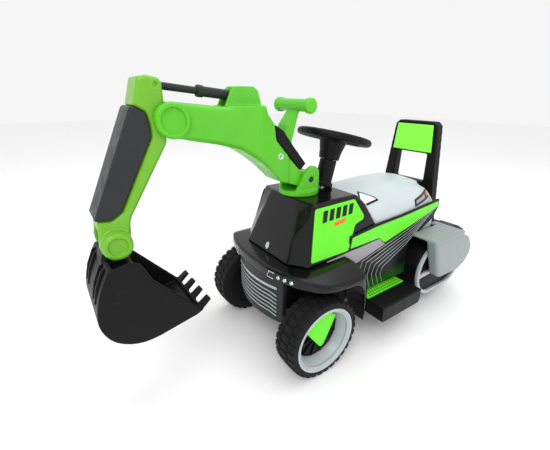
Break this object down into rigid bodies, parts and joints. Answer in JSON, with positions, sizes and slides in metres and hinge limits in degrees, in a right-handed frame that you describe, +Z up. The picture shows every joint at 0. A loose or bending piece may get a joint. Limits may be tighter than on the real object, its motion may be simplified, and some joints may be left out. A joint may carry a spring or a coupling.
{
  "type": "ride-on toy digger",
  "caption": "Foot-to-floor ride-on toy digger: seat with backrest, steerable front wheels, rear track pods and a swinging arm with bucket.",
  "frame": {"origin": "on the floor under the middle of the overall length and width", "axes": "+Y towards the rear, so the driver looks along -Y; +X to the driver's left; +Z up"},
  "size_m": [0.352, 0.9197, 0.555],
  "materials": {
    "body_black": "fine-grained moulded",
    "gloss_black": "high gloss",
    "seat_grey": "satin",
    "side_grey": "satin",
    "lime": "satin",
    "lime_decal": "printed film",
    "tyre": "blow-moulded, matt",
    "rim_grey": "satin",
    "steel": "zinc plated",
    "cover_grey": "satin"
  },
  "bodies": {
    "chassis": {"chassis": "body_black", "front_beam": "body_black", "front_fascia": "body_black", "front_fenders": "gloss_black", "hood": "gloss_black", "seat": "seat_grey", "backrest_frame": "body_black", "backrest_panel": "lime_decal", "grille": "side_grey", "side_panel_left": "body_black", "side_panel_right": "body_black", "step_left": "body_black", "step_right": "body_black", "step_pad_left": "lime_decal", "step_pad_right": "lime_decal", "kingpin_left": "steel", "kingpin_right": "steel", "steering_column": "body_black", "rear_axle": "steel", "track_shell_left": "body_black", "track_shell_right": "body_black", "track_frame_left": "rim_grey", "track_frame_right": "rim_grey", "pod_side_left": "side_grey", "pod_side_right": "side_grey", "pod_top_left": "seat_grey", "pod_top_right": "seat_grey"},
    "steering": {"steering_shaft": "steel", "steering_wheel": "body_black"},
    "horn": {"horn_button": "cover_grey"},
    "tie_rod": {"tie_rod": "steel"},
    "knuckle_left": {"knuckle_left": "body_black"},
    "knuckle_right": {"knuckle_right": "body_black"},
    "front_wheel_left": {"front_tyre_left": "tyre", "front_rim_left": "rim_grey", "wheel_disc_left": "body_black"},
    "front_wheel_right": {"front_tyre_right": "tyre", "front_rim_right": "rim_grey", "wheel_disc_right": "body_black"},
    "rear_wheel_left": {"rear_wheel_left": "tyre"},
    "rear_wheel_right": {"rear_wheel_right": "tyre"},
    "turret": {"turret": "lime", "turret_ring": "body_black", "boom_pin": "cover_grey"},
    "boom": {"boom": "lime", "boom_insert": "body_black", "handle": "lime", "tube_pin": "steel", "elbow_pin": "steel", "elbow_cap_left": "lime", "elbow_cap_right": "lime"},
    "cylinder_tube": {"cylinder_tube": "cover_grey"},
    "cylinder_rod": {"cylinder_rod": "cover_grey"},
    "dipper": {"dipper": "lime", "dipper_cover": "cover_grey", "rod_pin": "lime", "wrist_pin": "steel", "wrist_cap_left": "lime", "wrist_cap_right": "lime"},
    "bucket": {"bucket": "body_black"}
  },
  "joints": [
    {"name": "steering_turn", "type": "hinge", "parent": "chassis", "child": "steering", "pos_m": [0, 0.021, 0.3386], "axis": [0, 0.2419, 0.9703], "range_deg": [-27, 27]},
    {"name": "horn_press", "type": "slide", "parent": "steering", "child": "horn", "axis": [0, 0.2419, 0.9703], "range_m": [-0.003, 0], "stiffness_N_per_m": 700},
    {"name": "tie_rod_slide", "type": "slide", "parent": "chassis", "child": "tie_rod", "axis": [1, 0, 0], "range_m": [-0.0125, 0.0125]},
    {"name": "kingpin_left", "type": "hinge", "parent": "chassis", "child": "knuckle_left", "pos_m": [0.092, -0.098, 0.085], "axis": [0, 0, 1], "range_deg": [-20, 20]},
    {"name": "kingpin_right", "type": "hinge", "parent": "chassis", "child": "knuckle_right", "pos_m": [-0.092, -0.098, 0.085], "axis": [0, 0, 1], "range_deg": [-20, 20]},
    {"name": "front_spin_left", "type": "hinge", "parent": "knuckle_left", "child": "front_wheel_left", "pos_m": [0.137, -0.098, 0.085], "axis": [1, 0, 0], "continuous": true},
    {"name": "front_spin_right", "type": "hinge", "parent": "knuckle_right", "child": "front_wheel_right", "pos_m": [-0.137, -0.098, 0.085], "axis": [1, 0, 0], "continuous": true},
    {"name": "rear_spin_left", "type": "hinge", "parent": "chassis", "child": "rear_wheel_left", "pos_m": [0.0525, 0.342, 0.07], "axis": [1, 0, 0], "continuous": true},
    {"name": "rear_spin_right", "type": "hinge", "parent": "chassis", "child": "rear_wheel_right", "pos_m": [-0.0525, 0.342, 0.07], "axis": [1, 0, 0], "continuous": true},
    {"name": "turret_swing", "type": "hinge", "parent": "chassis", "child": "turret", "pos_m": [0, -0.0456, 0.345], "axis": [0, 0, 1], "range_deg": [-30, 30]},
    {"name": "boom_lift", "type": "hinge", "parent": "turret", "child": "boom", "pos_m": [0, -0.041, 0.371], "axis": [1, 0, 0], "range_deg": [-18, 8]},
    {"name": "dipper_swing", "type": "hinge", "parent": "boom", "child": "dipper", "pos_m": [0, -0.3114, 0.4953], "axis": [1, 0, 0], "range_deg": [-25, 8]},
    {"name": "cylinder_tilt", "type": "hinge", "parent": "boom", "child": "cylinder_tube", "pos_m": [0, -0.178, 0.5263], "axis": [1, 0, 0], "range_deg": [-5, 5]},
    {"name": "rod_slide", "type": "slide", "parent": "cylinder_tube", "child": "cylinder_rod", "axis": [0, -0.9936, 0.1134], "range_m": [-0.022, 0.022]},
    {"name": "bucket_curl", "type": "hinge", "parent": "dipper", "child": "bucket", "pos_m": [0, -0.412, 0.3244], "axis": [1, 0, 0], "range_deg": [-35, 40]}
  ],
  "couplings": [
    {"joint": "tie_rod_slide", "follows": "steering_turn", "m_per_rad": -0.0235},
    {"joint": "kingpin_left", "follows": "steering_turn", "ratio": 0.6528},
    {"joint": "kingpin_right", "follows": "steering_turn", "ratio": 0.6528},
    {"joint": "cylinder_tilt", "follows": "dipper_swing", "ratio": 0.14},
    {"joint": "rod_slide", "follows": "dipper_swing", "m_per_rad": 0.0459}
  ]
}
